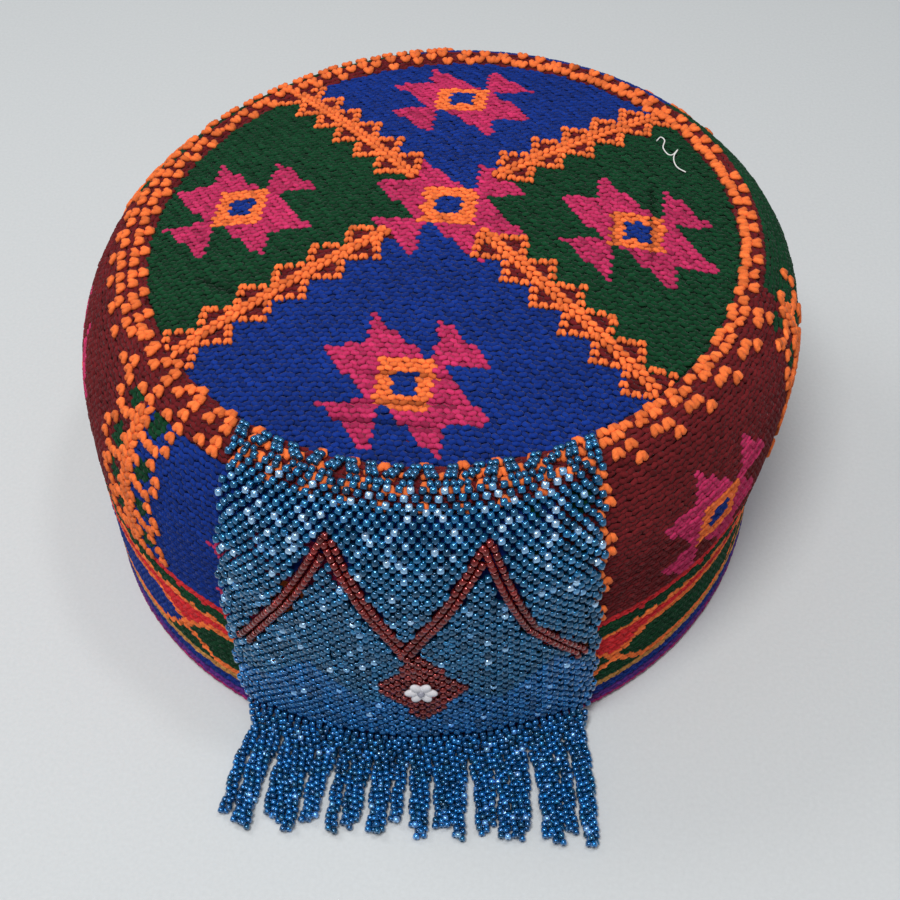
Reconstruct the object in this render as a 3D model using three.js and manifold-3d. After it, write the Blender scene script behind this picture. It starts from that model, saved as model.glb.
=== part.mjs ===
// Round beaded cap: a worked-yarn cap resting rim down, with a woven bead panel on its
// front wall and a bead fringe lying out on the surface. Millimetres, +Z up, front toward -Y.
import * as THREE from 'three';
import { mergeVertices } from 'three/addons/utils/BufferGeometryUtils.js';
import Module from 'manifold-3d';

// Main form, seen as a section from the rim up over the shoulder to the middle of the top
const rimRadius = 96;
const bulgeRadius = 97.3;
const bulgeHeight = 60;
const ringRadius = 81.5;
const ringHeight = 86.5;
const domeRise = 10.2;
const wall = 3;
const gap = 0.3;
const roundSteps = 56;

// The soft wall leans a little back and to one side, as far as the ring
const leanX = 7;
const leanY = 6.8;
const leanShareBelowBulge = 0.6;

// Dents and bulges of the wall, one row each; a negative depth swells outward
const dents = [
  { name: 'side hollow', azimuth: 81, height: 26, halfAngle: 22, halfHeight: 16, depth: 2.6 },
  { name: 'back slope', azimuth: -144, height: 88, halfAngle: 30, halfHeight: 14, depth: 1.2 },
  { name: 'side swell', azimuth: -89, height: 40, halfAngle: 25, halfHeight: 20, depth: -0.9 },
];

// Heights where one part of the wall gives way to the next
const edgeTop = 5;
const borderTop = 42;
const bandTopStation = 1.72;
const ringTopStation = 2.04;
const ringLift = 1.3;

// Bead panel and fringe
const panelThickness = 2.1;
const panelHalfWidth = 45.2;
const panelCentreX = 2.2;
const panelTopInset = 5.5;
const panelBottom = 7.4;
const weaveTop = 85.9;
const scallopCount = 7;
const scallopDepth = 0.8;
const loopCount = 19;
const loopWidth = 2.2;
const fringeCount = 29;
const strandThickness = 3;
const strandSides = 6;
const strandSteps = 6;
const fringeReachY = -119.5;
const fringeEndSpread = 1.1;
const flowerX = 5.3;
const flowerHeight = 32;
const flowerRadius = 4.2;
const petalCount = 6;
const petalSides = 10;

const fullTurn = Math.PI * 2;
const toRadians = Math.PI / 180;

const colours = {
  yarnBlue: 0x1b3a8f,
  yarnMaroon: 0x6b2426,
  yarnOrange: 0xee7a3c,
  yarnRed: 0xc02a35,
  yarnPurple: 0x7a2a68,
  beadTeal: 0x1d5f80,
  beadWhite: 0xeceaf0,
};

// A point of the section: station 0 to 1 is the wall, 1 to 2 the shoulder, 2 to 3 the dome
function sectionPoint(station) {
  if (station <= 1) {
    const swell = (bulgeRadius - rimRadius) * Math.sin((station * Math.PI) / 2);
    return new THREE.Vector2(rimRadius + swell, bulgeHeight * station);
  }
  if (station <= 2) {
    const turn = ((station - 1) * Math.PI) / 2;
    const radius = ringRadius + (bulgeRadius - ringRadius) * Math.cos(turn);
    return new THREE.Vector2(radius, bulgeHeight + (ringHeight - bulgeHeight) * Math.sin(turn));
  }
  const share = 3 - station;
  return new THREE.Vector2(ringRadius * share, ringHeight + domeRise * (1 - share * share));
}

// The same point moved out from the surface, square to it, or in where the offset is negative
function offsetPoint(station, offset) {
  const step = 0.01;
  const before = sectionPoint(Math.max(0, station - step));
  const after = sectionPoint(Math.min(3, station + step));
  const along = after.sub(before).normalize();
  const point = sectionPoint(station);
  return new THREE.Vector2(Math.max(0, point.x + along.y * offset), point.y - along.x * offset);
}

// Share of the lean at a height
function leanShare(height) {
  const low = THREE.MathUtils.clamp(height / bulgeHeight, 0, 1);
  const high = THREE.MathUtils.clamp((height - bulgeHeight) / (ringHeight - bulgeHeight), 0, 1);
  return leanShareBelowBulge * low + (1 - leanShareBelowBulge) * high;
}

// How far the dents push the surface in at an azimuth (degrees from the front) and a height
function dentDepth(azimuth, height) {
  let depth = 0;
  for (const dent of dents) {
    const apart = THREE.MathUtils.euclideanModulo(azimuth - dent.azimuth + 180, 360) - 180;
    const across = apart / dent.halfAngle;
    const up = (height - dent.height) / dent.halfHeight;
    depth += dent.depth * Math.exp(-across * across - up * up);
  }
  return depth;
}

// Gives a turned body the cap's lean and dents
function shapeLikeCap(geometry) {
  const position = geometry.getAttribute('position');
  for (let index = 0; index < position.count; index += 1) {
    const x = position.getX(index);
    const y = position.getY(index);
    const z = position.getZ(index);
    const radius = Math.hypot(x, y);
    const azimuth = Math.atan2(x, -y) / toRadians;
    const inward = dentDepth(azimuth, z) * Math.min(1, radius / ringRadius);
    const scale = radius > 0 ? (radius - inward) / radius : 1;
    const lean = leanShare(z);
    position.setXYZ(index, x * scale + leanX * lean, y * scale + leanY * lean, z);
  }
  return geometry;
}

// Turns a closed section round the upright axis and gives it the cap's shape
function turnedPiece(section, steps = roundSteps) {
  const geometry = new THREE.LatheGeometry(section, steps);
  geometry.rotateX(Math.PI / 2);
  return shapeLikeCap(geometry);
}

// Stations from one to another, with a number of equal steps
function stations(from, to, steps) {
  return Array.from({ length: steps + 1 }, (_, index) => from + ((to - from) * index) / steps);
}

// A closed section between two offsets from the surface, over a run of stations
function shellSection(run, outerOffset, innerOffset) {
  const outer = run.map((station) => offsetPoint(station, outerOffset));
  const inner = run.map((station) => offsetPoint(station, innerOffset));
  return [...outer, ...inner.reverse(), outer[0].clone()];
}

function stationAtHeight(height) {
  return height / bulgeHeight;
}

// Rim edge: a plain thick edge with a flat underside and rounded top corners
function rimEdgeGeometry() {
  const outside = rimRadius + 0.5;
  const inside = rimRadius - wall - 0.4;
  const corner = 1;
  const section = [
    new THREE.Vector2(outside - corner, 0),
    new THREE.Vector2(outside, corner),
    new THREE.Vector2(outside, edgeTop - corner),
    new THREE.Vector2(outside - corner, edgeTop),
    new THREE.Vector2(inside + corner, edgeTop),
    new THREE.Vector2(inside, edgeTop - corner),
    new THREE.Vector2(inside, corner),
    new THREE.Vector2(inside + corner, 0),
    new THREE.Vector2(outside - corner, 0),
  ];
  return turnedPiece(section);
}

// Rim border: the foot of the wall, from the edge up to the side band
function rimBorderGeometry() {
  const run = stations(stationAtHeight(edgeTop + gap), stationAtHeight(borderTop), 3);
  return turnedPiece(shellSection(run, 0, -wall));
}

// Side band: the wall and the turn of the shoulder up to the ring
function sideBandGeometry() {
  const wallRun = stations(stationAtHeight(borderTop + gap), 1, 3);
  const shoulderRun = stations(1, bandTopStation, 5).slice(1);
  return turnedPiece(shellSection([...wallRun, ...shoulderRun], 0, -wall));
}

// Crown ring: the raised braid, with a rounded back
function crownRingGeometry() {
  const first = bandTopStation + 0.02;
  const middle = (first + ringTopStation) / 2;
  const section = [
    offsetPoint(first, -wall),
    offsetPoint(first, ringLift * 0.4),
    offsetPoint(first + (middle - first) * 0.5, ringLift),
    offsetPoint(middle + (ringTopStation - middle) * 0.5, ringLift),
    offsetPoint(ringTopStation, ringLift * 0.4),
    offsetPoint(ringTopStation, -wall),
    offsetPoint(middle, -wall),
    offsetPoint(first, -wall),
  ];
  return turnedPiece(section);
}

// Crown top: the domed disc inside the ring, closed on the axis
function crownTopGeometry() {
  const run = stations(ringTopStation + 0.01, 3, 4);
  const outer = run.map((station) => offsetPoint(station, 0));
  const inner = run.map((station) => offsetPoint(station, -wall));
  outer.at(-1).x = 0;
  inner.at(-1).x = 0;
  return turnedPiece([...inner.reverse(), ...outer]);
}

// Bodies for joining and cutting
const wasm = await Module();
wasm.setup();

function toSolid(geometry) {
  const bare = geometry.clone();
  bare.deleteAttribute('normal');
  bare.deleteAttribute('uv');
  const merged = mergeVertices(bare, 1e-4);
  const mesh = new wasm.Mesh({
    numProp: 3,
    vertProperties: new Float32Array(merged.getAttribute('position').array),
    triVerts: new Uint32Array(merged.index.array),
  });
  return new wasm.Manifold(mesh);
}

function toGeometry(solid) {
  const mesh = solid.getMesh();
  const geometry = new THREE.BufferGeometry();
  geometry.setAttribute('position', new THREE.BufferAttribute(new Float32Array(mesh.vertProperties), 3));
  geometry.setIndex(Array.from(mesh.triVerts));
  geometry.computeVertexNormals();
  return geometry;
}

// How far the left side of the bead panel is drawn in at a height
function panelInset(height) {
  return panelTopInset * ((height - panelBottom) / (weaveTop - panelBottom)) ** 3;
}

// Front outline of the bead panel, across and up: scalloped sides, and one tongue for each
// sewing strand that runs up over the ring
function panelOutline() {
  const left = -panelHalfWidth;
  const right = panelHalfWidth;
  const topLeft = left + panelTopInset;
  const top = weaveTop;
  const reach = ringHeight + 6;
  const pitch = (right - topLeft) / loopCount;
  const shape = new THREE.Shape();
  shape.moveTo(left, panelBottom);
  shape.lineTo(right, panelBottom);
  const scallopHeight = (top - panelBottom) / scallopCount;
  for (let index = 0; index < scallopCount; index += 1) {
    const from = panelBottom + index * scallopHeight;
    shape.quadraticCurveTo(right + scallopDepth * 2, from + scallopHeight / 2, right, from + scallopHeight);
  }
  for (let index = loopCount - 1; index >= 0; index -= 1) {
    const middle = topLeft + pitch * (index + 0.5);
    shape.lineTo(middle + loopWidth / 2, top);
    shape.lineTo(middle + loopWidth / 2, reach);
    shape.lineTo(middle - loopWidth / 2, reach);
    shape.lineTo(middle - loopWidth / 2, top);
  }
  shape.lineTo(topLeft, top);
  for (let index = scallopCount - 1; index >= 0; index -= 1) {
    const from = panelBottom + index * scallopHeight;
    const middle = from + scallopHeight / 2;
    const out = left + panelInset(middle) - scallopDepth * 2;
    shape.quadraticCurveTo(out, middle, left + panelInset(from), from);
  }
  return shape;
}

// Bead panel: a skin over the wall and the ring, cut to the front outline
function beadPanelGeometry() {
  const wallRun = stations(0.03, 1, 3);
  const shoulderRun = stations(1, bandTopStation - 0.12, 4).slice(1);
  const overRing = [bandTopStation - 0.03, 1.85, 1.96, ringTopStation - 0.01];
  const low = [...wallRun, ...shoulderRun];
  const overLift = ringLift + gap;
  const skin = [
    ...low.map((station) => offsetPoint(station, gap + panelThickness)),
    ...overRing.map((station) => offsetPoint(station, overLift + panelThickness)),
    ...overRing.reverse().map((station) => offsetPoint(station, overLift)),
    ...low.reverse().map((station) => offsetPoint(station, gap + 0.35)),
  ];
  skin.push(skin[0].clone());
  const body = turnedPiece(skin, roundSteps * 2);
  const cutter = new THREE.ExtrudeGeometry(panelOutline(), { depth: 90, bevelEnabled: false, curveSegments: 2 });
  cutter.rotateX(Math.PI / 2);
  cutter.translate(panelCentreX, -20, 0);
  return toGeometry(toSolid(body).intersect(toSolid(cutter)));
}

// One strand of the fringe: down from the head, round onto the surface and out to its end
function strandGeometry(index) {
  const share = index / (fringeCount - 1);
  const across = panelCentreX + (share * 2 - 1) * (panelHalfWidth - strandThickness / 2);
  const radius = rimRadius + gap + 0.5 + strandThickness / 2 + 0.2;
  const out = -Math.sqrt(radius * radius - across * across);
  const half = strandThickness / 2 + 0.15;
  const wander = Math.sin(index * 2.4) * 1.1 + Math.sin(index * 5.1) * 0.6;
  const endX = panelCentreX + (across - panelCentreX) * fringeEndSpread + wander;
  const endY = fringeReachY + Math.cos(index * 1.9) * 2 - share * 1.6 + 0.8;
  const path = new THREE.CatmullRomCurve3([
    new THREE.Vector3(across, out, panelBottom - gap - 1.6),
    new THREE.Vector3(across, out - 2, half + 2),
    new THREE.Vector3(across + wander * 0.2, out - 5.2, half + 0.2),
    new THREE.Vector3(across + (endX - across) * 0.6, (out + endY) / 2, half),
    new THREE.Vector3(endX, endY, half),
  ]);
  const section = new THREE.Shape();
  for (let side = 0; side < strandSides; side += 1) {
    const turn = (side / strandSides) * fullTurn;
    const x = (Math.cos(turn) * strandThickness) / 2;
    const y = (Math.sin(turn) * strandThickness) / 2;
    if (side === 0) {
      section.moveTo(x, y);
    } else {
      section.lineTo(x, y);
    }
  }
  section.closePath();
  return new THREE.ExtrudeGeometry(section, { steps: strandSteps, extrudePath: path, bevelEnabled: false });
}

// Fringe: the strands joined to one head row that follows the rim
function beadFringeGeometry() {
  const inner = rimRadius + 0.5 + gap;
  const outer = inner + strandThickness;
  const bottom = panelBottom - gap - 2.6;
  const top = panelBottom - gap;
  const row = new THREE.LatheGeometry(
    [
      new THREE.Vector2(inner, bottom),
      new THREE.Vector2(outer, bottom),
      new THREE.Vector2(outer, top),
      new THREE.Vector2(inner, top),
      new THREE.Vector2(inner, bottom),
    ],
    roundSteps * 2,
  );
  row.rotateX(Math.PI / 2);
  const front = new THREE.BoxGeometry(panelHalfWidth * 2, 90, 40);
  front.translate(panelCentreX, -85, 0);
  let fringe = toSolid(row).intersect(toSolid(front));
  for (let index = 0; index < fringeCount; index += 1) {
    fringe = fringe.add(toSolid(strandGeometry(index)));
  }
  return toGeometry(fringe);
}

// Small flower: six oval beads round a middle bead, standing on the face of the panel
function beadFlowerGeometry() {
  const bead = flowerRadius * 0.38;
  const middle = new THREE.SphereGeometry(bead * 0.9, petalSides, 6);
  let flower = toSolid(middle);
  for (let index = 0; index < petalCount; index += 1) {
    const petal = new THREE.SphereGeometry(bead, petalSides, 6);
    petal.scale(1, 1.35, 1);
    petal.translate(0, flowerRadius - bead * 1.35, 0);
    petal.rotateZ((index / petalCount) * fullTurn);
    flower = flower.add(toSolid(petal));
  }
  const geometry = toGeometry(flower);
  geometry.rotateX(Math.PI / 2);
  const stand = sectionPoint(stationAtHeight(flowerHeight)).x + gap + panelThickness + gap + bead;
  const lean = leanShare(flowerHeight);
  geometry.translate(flowerX, -stand + leanY * lean, flowerHeight);
  return geometry;
}

function piece(name, geometry, colour, roughness) {
  const material = new THREE.MeshStandardMaterial({ color: colour, roughness, metalness: 0 });
  const mesh = new THREE.Mesh(geometry, material);
  mesh.name = name;
  return mesh;
}

const cap = new THREE.Group();
cap.add(
  piece('crown_top', crownTopGeometry(), colours.yarnBlue, 0.9),
  piece('crown_ring', crownRingGeometry(), colours.yarnOrange, 0.9),
  piece('side_band', sideBandGeometry(), colours.yarnMaroon, 0.9),
  piece('rim_border', rimBorderGeometry(), colours.yarnRed, 0.9),
  piece('rim_edge', rimEdgeGeometry(), colours.yarnPurple, 0.9),
  piece('bead_panel', beadPanelGeometry(), colours.beadTeal, 0.25),
  piece('bead_fringe', beadFringeGeometry(), colours.beadTeal, 0.25),
  piece('bead_flower', beadFlowerGeometry(), colours.beadWhite, 0.4),
);

// The middle of the cap's box, at its foot, becomes the origin
const box = new THREE.Box3().setFromObject(cap);
const centre = box.getCenter(new THREE.Vector3());
for (const mesh of cap.children) {
  mesh.geometry.translate(-centre.x, -centre.y, -box.min.z);
}

export default cap;
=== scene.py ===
import math

import bpy
import numpy as np
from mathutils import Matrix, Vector


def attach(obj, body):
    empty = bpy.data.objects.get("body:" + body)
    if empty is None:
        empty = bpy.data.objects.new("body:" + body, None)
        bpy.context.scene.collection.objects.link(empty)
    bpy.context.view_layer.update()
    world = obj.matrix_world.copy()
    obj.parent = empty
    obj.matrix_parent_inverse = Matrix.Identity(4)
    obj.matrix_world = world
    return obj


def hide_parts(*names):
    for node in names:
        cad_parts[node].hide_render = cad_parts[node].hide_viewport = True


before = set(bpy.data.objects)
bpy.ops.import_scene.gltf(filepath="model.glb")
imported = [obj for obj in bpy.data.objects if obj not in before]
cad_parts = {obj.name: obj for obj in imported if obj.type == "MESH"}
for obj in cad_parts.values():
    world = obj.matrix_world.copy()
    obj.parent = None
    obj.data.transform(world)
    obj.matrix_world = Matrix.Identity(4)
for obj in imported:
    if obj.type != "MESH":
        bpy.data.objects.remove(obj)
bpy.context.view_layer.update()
bpy.ops.object.select_all(action="DESELECT")


# Crown cloth. The cap is worked in dyed yarn over its whole body, and this is the domed top
# under its stitches: a cloth 3 mm thick with five stars and four leafy dividers in it. Its
# inside shows the same pattern, and the worked stitches of the next section lie on it. The
# cloth is painted a little darker than its yarn, as painted shade in the gaps between them.

MM = 0.001
AXIS_X, AXIS_Y = -2.63, 10.39
RIM_RADIUS, BULGE_RADIUS, BULGE_HEIGHT = 96.0, 97.3, 60.0
RING_RADIUS, RING_HEIGHT, DOME_RISE = 81.5, 86.5, 10.2
LEAN_X, LEAN_Y, LEAN_LOW_SHARE = 7.0, 6.8, 0.6
WALL = 3.0
# azimuth and half angle in degrees; height, half height and depth in mm
DENTS = (
    {"azimuth": 81, "height": 26, "half_angle": 22, "half_height": 16, "depth": 2.6},
    {"azimuth": -144, "height": 88, "half_angle": 30, "half_height": 14, "depth": 1.2},
    {"azimuth": -89, "height": 40, "half_angle": 25, "half_height": 20, "depth": -0.9},
)
RING_FROM, RING_TO = 1.72, 2.04
CHART_TURN = math.radians(-4)
STITCH_WIDE, STITCH_HIGH = 3.85, 3.9

BLUE, GREEN, MAROON, ORANGE, MAGENTA, RED, GOLD, PURPLE, ROSE = range(9)
YARN_COLOURS = (
    ("wool yarn, royal blue", "#0d2d7c"),
    ("wool yarn, bottle green", "#0b3b21"),
    ("wool yarn, maroon", "#64191d"),
    ("wool yarn, orange", "#f2763a"),
    ("wool yarn, magenta", "#bb2d5c"),
    ("wool yarn, red", "#cf2a30"),
    ("wool yarn, old gold", "#bd8446"),
    ("wool yarn, purple", "#5b2a7c"),
    ("wool yarn, rose purple", "#a22c6a"),
)


def section_at(station):
    """Radius and height of the section: 0 to 1 is the wall, 1 to 2 the shoulder, 2 to 3 the dome."""
    station = np.asarray(station, float)
    on_wall, turn = np.clip(station, 0, 1), (np.clip(station, 1, 2) - 1) * math.pi / 2
    share = 3 - np.clip(station, 2, 3)
    wall_r = RIM_RADIUS + (BULGE_RADIUS - RIM_RADIUS) * np.sin(on_wall * math.pi / 2)
    turn_r = RING_RADIUS + (BULGE_RADIUS - RING_RADIUS) * np.cos(turn)
    turn_z = BULGE_HEIGHT + (RING_HEIGHT - BULGE_HEIGHT) * np.sin(turn)
    radius = np.where(station <= 1, wall_r, np.where(station <= 2, turn_r, RING_RADIUS * share))
    dome_z = RING_HEIGHT + DOME_RISE * (1 - share * share)
    height = np.where(station <= 1, BULGE_HEIGHT * on_wall, np.where(station <= 2, turn_z, dome_z))
    return radius, height


def lean_share(height):
    low = np.clip(height / BULGE_HEIGHT, 0, 1)
    high = np.clip((height - BULGE_HEIGHT) / (RING_HEIGHT - BULGE_HEIGHT), 0, 1)
    return LEAN_LOW_SHARE * low + (1 - LEAN_LOW_SHARE) * high


def cap_point(azimuth, station, lift=0.0):
    """Points on the cap in metres, at degrees round from the front, lifted off the surface in mm."""
    azimuth, station = np.broadcast_arrays(np.asarray(azimuth, float), np.asarray(station, float))
    step = 0.01
    radius_a, height_a = section_at(np.maximum(station - step, 0))
    radius_b, height_b = section_at(np.minimum(station + step, 3))
    along = np.hypot(radius_b - radius_a, height_b - height_a)
    radius, height = section_at(station)
    radius = np.maximum(radius + (height_b - height_a) / along * lift, 0)
    height = height - (radius_b - radius_a) / along * lift
    inward = np.zeros_like(radius)
    for dent in DENTS:
        apart = (azimuth - dent["azimuth"] + 180) % 360 - 180
        across, up = apart / dent["half_angle"], (height - dent["height"]) / dent["half_height"]
        inward += dent["depth"] * np.exp(-across ** 2 - up ** 2)
    radius = radius - inward * np.clip(radius / RING_RADIUS, 0, 1)
    turn = np.radians(azimuth)
    x = AXIS_X + LEAN_X * lean_share(height) + radius * np.sin(turn)
    y = AXIS_Y + LEAN_Y * lean_share(height) - radius * np.cos(turn)
    return np.stack([x, y, height], -1) * MM


def crown_point(u, v, lift=0.0):
    """A point of the dome from the chart's own square millimetres, u across and v to the back."""
    x = u * math.cos(CHART_TURN) - v * math.sin(CHART_TURN)
    y = u * math.sin(CHART_TURN) + v * math.cos(CHART_TURN)
    azimuth = np.degrees(np.arctan2(x, -y))
    return cap_point(azimuth, 3 - np.hypot(x, y) / RING_RADIUS, lift)


def inside_triangle(u, v, corners):
    (ax, ay), (bx, by), (cx, cy) = corners
    one = (bx - ax) * (v - ay) - (by - ay) * (u - ax)
    two = (cx - bx) * (v - by) - (cy - by) * (u - bx)
    three = (ax - cx) * (v - cy) - (ay - cy) * (u - cx)
    above = (one >= 0) & (two >= 0) & (three >= 0)
    return above | ((one <= 0) & (two <= 0) & (three <= 0))


# Half of the star's arms as right triangles, counted in stitches from its middle; the
# other half is the same turned half round
STAR_ARMS = (
    ((-2.8, 5.2), (-2.7, 1.5), (1.4, 1.5)),
    ((-5.6, 2.4), (-1.5, 3.0), (-1.5, -2.1)),
    ((1.6, 5.0), (1.6, 1.2), (5.3, 1.6)),
)
STAR_SQUARE, STAR_EYE = 1.8, 0.85


def paint_star(colour, u, v, centre_u, centre_v, eye):
    """Works one star into a chart: magenta arms round an orange square with an eye."""
    su, sv = (u - centre_u) / STITCH_WIDE, (v - centre_v) / STITCH_HIGH
    for arm in STAR_ARMS:
        hit = inside_triangle(su, sv, arm) | inside_triangle(-su, -sv, arm)
        colour[hit] = MAGENTA
    size = np.maximum(np.abs(su), np.abs(sv))
    colour[size < STAR_SQUARE] = ORANGE
    colour[size < STAR_EYE] = eye


CROWN_STARS = ((2.0, 1.5), (-1.4, -56.4), (-1.0, 53.5), (-54.5, 2.0), (51.0, 0.0))
CHART_MIDDLE_U, CHART_MIDDLE_V = 1.5, 1.0
# each divider runs from its inner to its outer end, in the order of the sectors they part
CROWN_DIVIDERS = (
    {"from": (13.9, 15.5), "to": (57.0, 57.0)},
    {"from": (-10.0, 14.0), "to": (-51.5, 60.0)},
    {"from": (-13.5, -10.0), "to": (-64.0, -51.0)},
    {"from": (12.5, -8.8), "to": (60.0, -53.0)},
)
CROWN_SECTORS = (GREEN, BLUE, GREEN, BLUE, GREEN)
LEAF_STEP, LEAF_OUT, LEAF_START, SPINE_BED = 10.6, 1.3, 0.6, 2.2


def divider_way(divider):
    """Start, unit direction and length of a divider."""
    start, end = np.array(divider["from"]), np.array(divider["to"])
    length = float(np.linalg.norm(end - start))
    return start, (end - start) / length, length


def crown_leaves():
    """The corners of each leaf of the crown's dividers; the middle one points away from the spine."""
    leaves = []
    for divider in CROWN_DIVIDERS:
        start, way, length = divider_way(divider)
        for side in (-1, 1):
            out = side * np.array([-way[1], way[0]])
            for along in np.arange(LEAF_START + LEAF_OUT * side, length - 0.6 * LEAF_STEP, LEAF_STEP):
                first = start + way * along + out * LEAF_OUT
                last = first + way * LEAF_STEP
                corner = np.array([first[0], last[1]])
                if np.dot(corner - first, out) < 0:
                    corner = np.array([last[0], first[1]])
                leaves.append((first, corner, last))
    return leaves


def near_line(u, v, start, end):
    """Distance from the straight line between two points."""
    (u0, v0), (u1, v1) = start, end
    length = math.hypot(u1 - u0, v1 - v0)
    along = np.clip(((u - u0) * (u1 - u0) + (v - v0) * (v1 - v0)) / length ** 2, 0, 1)
    return np.hypot(u - u0 - along * (u1 - u0), v - v0 - along * (v1 - v0))


def crown_chart(u, v):
    """Yarn colour at a place on the dome."""
    du, dv = u - CHART_MIDDLE_U, v - CHART_MIDDLE_V
    turn, reach = np.degrees(np.arctan2(dv, du)) % 360, np.hypot(du, dv)
    passed = np.zeros(len(u), int)
    for divider in CROWN_DIVIDERS:
        ends = [(x - CHART_MIDDLE_U, y - CHART_MIDDLE_V) for x, y in (divider["from"], divider["to"])]
        reaches = [math.hypot(x, y) for x, y in ends]
        turns = [math.degrees(math.atan2(y, x)) % 360 for x, y in ends]
        passed += turn > np.interp(reach, reaches, turns)
    colour = np.array(CROWN_SECTORS)[passed]
    for centre_u, centre_v in CROWN_STARS:
        paint_star(colour, u, v, centre_u, centre_v, BLUE)
    for divider in CROWN_DIVIDERS:
        colour[near_line(u, v, divider["from"], divider["to"]) < SPINE_BED] = MAROON
    for leaf in crown_leaves():
        colour[inside_triangle(u, v, leaf)] = MAROON
    return colour


def linear(hex_colour):
    """An sRGB hex colour as linear red, green, blue and full alpha."""
    values = [int(hex_colour[i:i + 2], 16) / 255 for i in (1, 3, 5)]
    return tuple(c / 12.92 if c <= 0.04045 else ((c + 0.055) / 1.055) ** 2.4 for c in values) + (1.0,)


def add_node(tree, kind, settings=None, links=None):
    """Adds one node to a material, with its settings and the outputs that feed its inputs."""
    node = tree.nodes.new(kind)
    for key, value in (settings or {}).items():
        if hasattr(node, key):
            setattr(node, key, value)
        else:
            node.inputs[key].default_value = value
    for key, output in (links or {}).items():
        tree.links.new(output, node.inputs[key])
    return node


def new_material(name):
    material = bpy.data.materials.new(name)
    material.use_nodes = True
    tree = material.node_tree
    shader = next(n for n in tree.nodes if n.type == "BSDF_PRINCIPLED")
    return material, tree, shader


def yarn(name, hex_colour):
    """Two-ply dyed wool: matt, a little furry, lighter on some strands, its plies as slanting ridges."""
    ply_mm, fibre_mm = 0.85, 0.16
    material, tree, shader = new_material(name)
    shader.inputs["Roughness"].default_value = 0.88
    shader.inputs["Specular IOR Level"].default_value = 0.12
    shader.inputs["Sheen Weight"].default_value = 0.05
    shader.inputs["Sheen Roughness"].default_value = 0.45
    # the tone read here is random from strand to strand, and also holds painted shade on the cloth under
    # the stitches and in the creases, and painted light on the crown's ridges
    tone = add_node(tree, "ShaderNodeAttribute", {"attribute_name": "tone"})
    place = add_node(tree, "ShaderNodeTexCoord")
    fibre = add_node(tree, "ShaderNodeTexNoise", {"Scale": 1 / (fibre_mm * 4 * MM), "Detail": 3.0},
                     {"Vector": place.outputs["Object"]})
    uneven = add_node(tree, "ShaderNodeMapRange", {"To Min": 0.72, "To Max": 1.3},
                      {"Value": fibre.outputs["Fac"]})
    shade = add_node(tree, "ShaderNodeMath", {"operation": "MULTIPLY"},
                     {0: tone.outputs["Fac"], 1: uneven.outputs["Result"]})
    dyed = add_node(tree, "ShaderNodeMix", {"data_type": "RGBA", "blend_type": "MULTIPLY"})
    dyed.inputs[0].default_value = 1.0
    dyed.inputs[6].default_value = linear(hex_colour)
    tree.links.new(shade.outputs["Value"], dyed.inputs[7])
    tree.links.new(dyed.outputs[2], shader.inputs["Base Color"])
    along = add_node(tree, "ShaderNodeUVMap", {"uv_map": "along yarn"})
    plies = add_node(tree, "ShaderNodeTexWave", {"bands_direction": "DIAGONAL", "Scale": 0.32 / ply_mm,
                                                 "Distortion": 0.6, "Detail": 1.0},
                     {"Vector": along.outputs["UV"]})
    twist = add_node(tree, "ShaderNodeBump", {"Strength": 0.35, "Distance": 0.25 * MM},
                     {"Height": plies.outputs["Fac"]})
    furry = add_node(tree, "ShaderNodeBump", {"Strength": 0.3, "Distance": 0.12 * MM},
                     {"Height": fibre.outputs["Fac"], "Normal": twist.outputs["Normal"]})
    tree.links.new(furry.outputs["Normal"], shader.inputs["Normal"])
    return material


YARNS = [yarn(name, hex_colour) for name, hex_colour in YARN_COLOURS]


def mesh_piece(name, points, triangles, uv, tone, colour, materials):
    """One smooth piece from arrays, with its yarn or bead colour per face and its tone per point."""
    mesh = bpy.data.meshes.new(name)
    mesh.from_pydata(points, [], triangles)
    mesh.polygons.foreach_set("material_index", np.asarray(colour, np.int32))
    mesh.polygons.foreach_set("use_smooth", np.ones(len(triangles), bool))
    for material in materials:
        mesh.materials.append(material)
    if uv is not None:
        layer = mesh.uv_layers.new(name="along yarn")
        layer.data.foreach_set("uv", uv[triangles.ravel()].astype(np.float32).ravel())
    shade = mesh.attributes.new("tone", "FLOAT", "POINT")
    shade.data.foreach_set("value", tone.astype(np.float32))
    mesh.update()
    piece = bpy.data.objects.new(name, mesh)
    bpy.context.collection.objects.link(piece)
    return piece


def lay_grid(name, columns, rows, point, lift):
    """A grid primitive laid on the cap, and where its points lay when flat, each way from 0 to 1."""
    bpy.ops.object.select_all(action="DESELECT")
    bpy.ops.mesh.primitive_grid_add(
        x_subdivisions=columns, y_subdivisions=rows, size=2, location=(0, 0, 0))
    piece = bpy.context.object
    piece.name = name
    flat = np.empty(len(piece.data.vertices) * 3)
    piece.data.vertices.foreach_get("co", flat)
    flat = (flat.reshape(-1, 3) + 1) / 2
    piece.data.vertices.foreach_set("co", point(flat[:, 0], flat[:, 1], lift).ravel())
    piece.data.uv_layers[0].name = "along yarn"
    return piece, flat


def close_seams(merge_mm):
    """Joins the points that meet at a seam or pole of the active piece, and turns its faces outward."""
    bpy.ops.object.mode_set(mode="EDIT")
    bpy.ops.mesh.select_all(action="SELECT")
    bpy.ops.mesh.remove_doubles(threshold=merge_mm * MM)
    bpy.ops.mesh.normals_make_consistent(inside=False)
    bpy.ops.object.mode_set(mode="OBJECT")


def finish_cloth(piece, tone):
    """Shades a cloth smooth, and paints it in one tone all over: painted shade where it shows between the
    stitches.
    """
    piece.data.shade_smooth()
    shade = piece.data.attributes.new("tone", "FLOAT", "POINT")
    shade.data.foreach_set("value", np.full(len(piece.data.vertices), tone, np.float32))


# the second value is the darker tone the cloth under the stitches is painted in: painted shade in the gaps
# between them
CLOTH_SINK, CLOTH_PAINTED_SHADE = 0.3, 0.85
INSIDE_CAP = Vector((0, 0.01, 0.02))


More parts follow.
